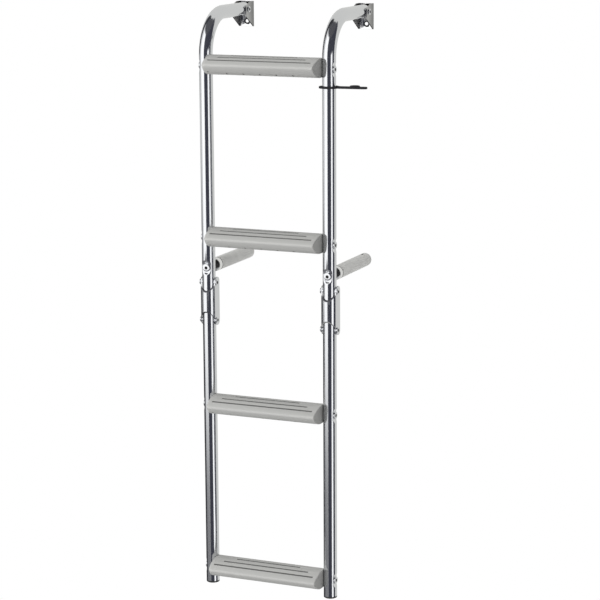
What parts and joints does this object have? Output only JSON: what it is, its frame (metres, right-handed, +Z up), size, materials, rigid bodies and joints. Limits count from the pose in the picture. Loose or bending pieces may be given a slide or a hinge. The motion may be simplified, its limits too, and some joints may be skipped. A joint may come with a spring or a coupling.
{
  "type": "boat boarding ladder",
  "caption": "Folding tube boarding ladder with hollow plastic treads, double-pivot folding links, arms that tilt in hull brackets, and standoffs that rest on the hull.",
  "frame": {"origin": "middle of the left bracket's back face, where it lies on the hull", "axes": "+Z up, +Y out of the back face and into the hull, +X to the right of someone who faces the hull from the water"},
  "size_m": [0.2911, 0.208, 0.964],
  "materials": {
    "polished_steel": "mirror polished stainless steel",
    "grey_plastic": "fine satin moulded grey plastic",
    "black_plastic": "satin black plastic",
    "strap_rubber": "matt black rubber"
  },
  "bodies": {
    "mounting_brackets": {"left_bracket": "polished_steel", "left_tilt_pin": "polished_steel", "right_bracket": "polished_steel", "right_tilt_pin": "polished_steel"},
    "upper_section": {"left_upper_rail": "polished_steel", "left_arm_plug": "black_plastic", "left_upper_plug": "black_plastic", "left_standoff_spacer": "black_plastic", "left_standoff_collar": "polished_steel", "left_standoff_bumper": "grey_plastic", "left_standoff_bolt": "polished_steel", "right_upper_rail": "polished_steel", "right_arm_plug": "black_plastic", "right_upper_plug": "black_plastic", "right_standoff_spacer": "black_plastic", "right_standoff_collar": "polished_steel", "right_standoff_bumper": "grey_plastic", "right_standoff_bolt": "polished_steel", "top_tread": "grey_plastic", "top_tread_left_screw": "polished_steel", "top_tread_right_screw": "polished_steel", "second_tread": "grey_plastic", "second_tread_left_screw": "polished_steel", "second_tread_right_screw": "polished_steel", "retaining_strap": "strap_rubber"},
    "hinge_links": {"left_hinge_link": "polished_steel", "left_upper_hinge_pin": "polished_steel", "left_lower_hinge_pin": "polished_steel", "right_hinge_link": "polished_steel", "right_upper_hinge_pin": "polished_steel", "right_lower_hinge_pin": "polished_steel"},
    "lower_section": {"left_lower_rail": "polished_steel", "left_lower_plug": "black_plastic", "left_foot_plug": "black_plastic", "right_lower_rail": "polished_steel", "right_lower_plug": "black_plastic", "right_foot_plug": "black_plastic", "third_tread": "grey_plastic", "third_tread_left_screw": "polished_steel", "third_tread_right_screw": "polished_steel", "bottom_tread": "grey_plastic", "bottom_tread_left_screw": "polished_steel", "bottom_tread_right_screw": "polished_steel"}
  },
  "joints": [
    {"name": "ladder_tilt", "type": "hinge", "parent": "mounting_brackets", "child": "upper_section", "pos_m": [0, -0.023, 0.0085], "axis": [-1, 0, 0], "range_deg": [0, 105]},
    {"name": "link_fold", "type": "hinge", "parent": "upper_section", "child": "hinge_links", "pos_m": [0, -0.163, -0.428], "axis": [-1, 0, 0], "range_deg": [0, 90]},
    {"name": "section_fold", "type": "hinge", "parent": "hinge_links", "child": "lower_section", "pos_m": [0, -0.163, -0.491], "axis": [-1, 0, 0], "range_deg": [0, 90]}
  ]
}
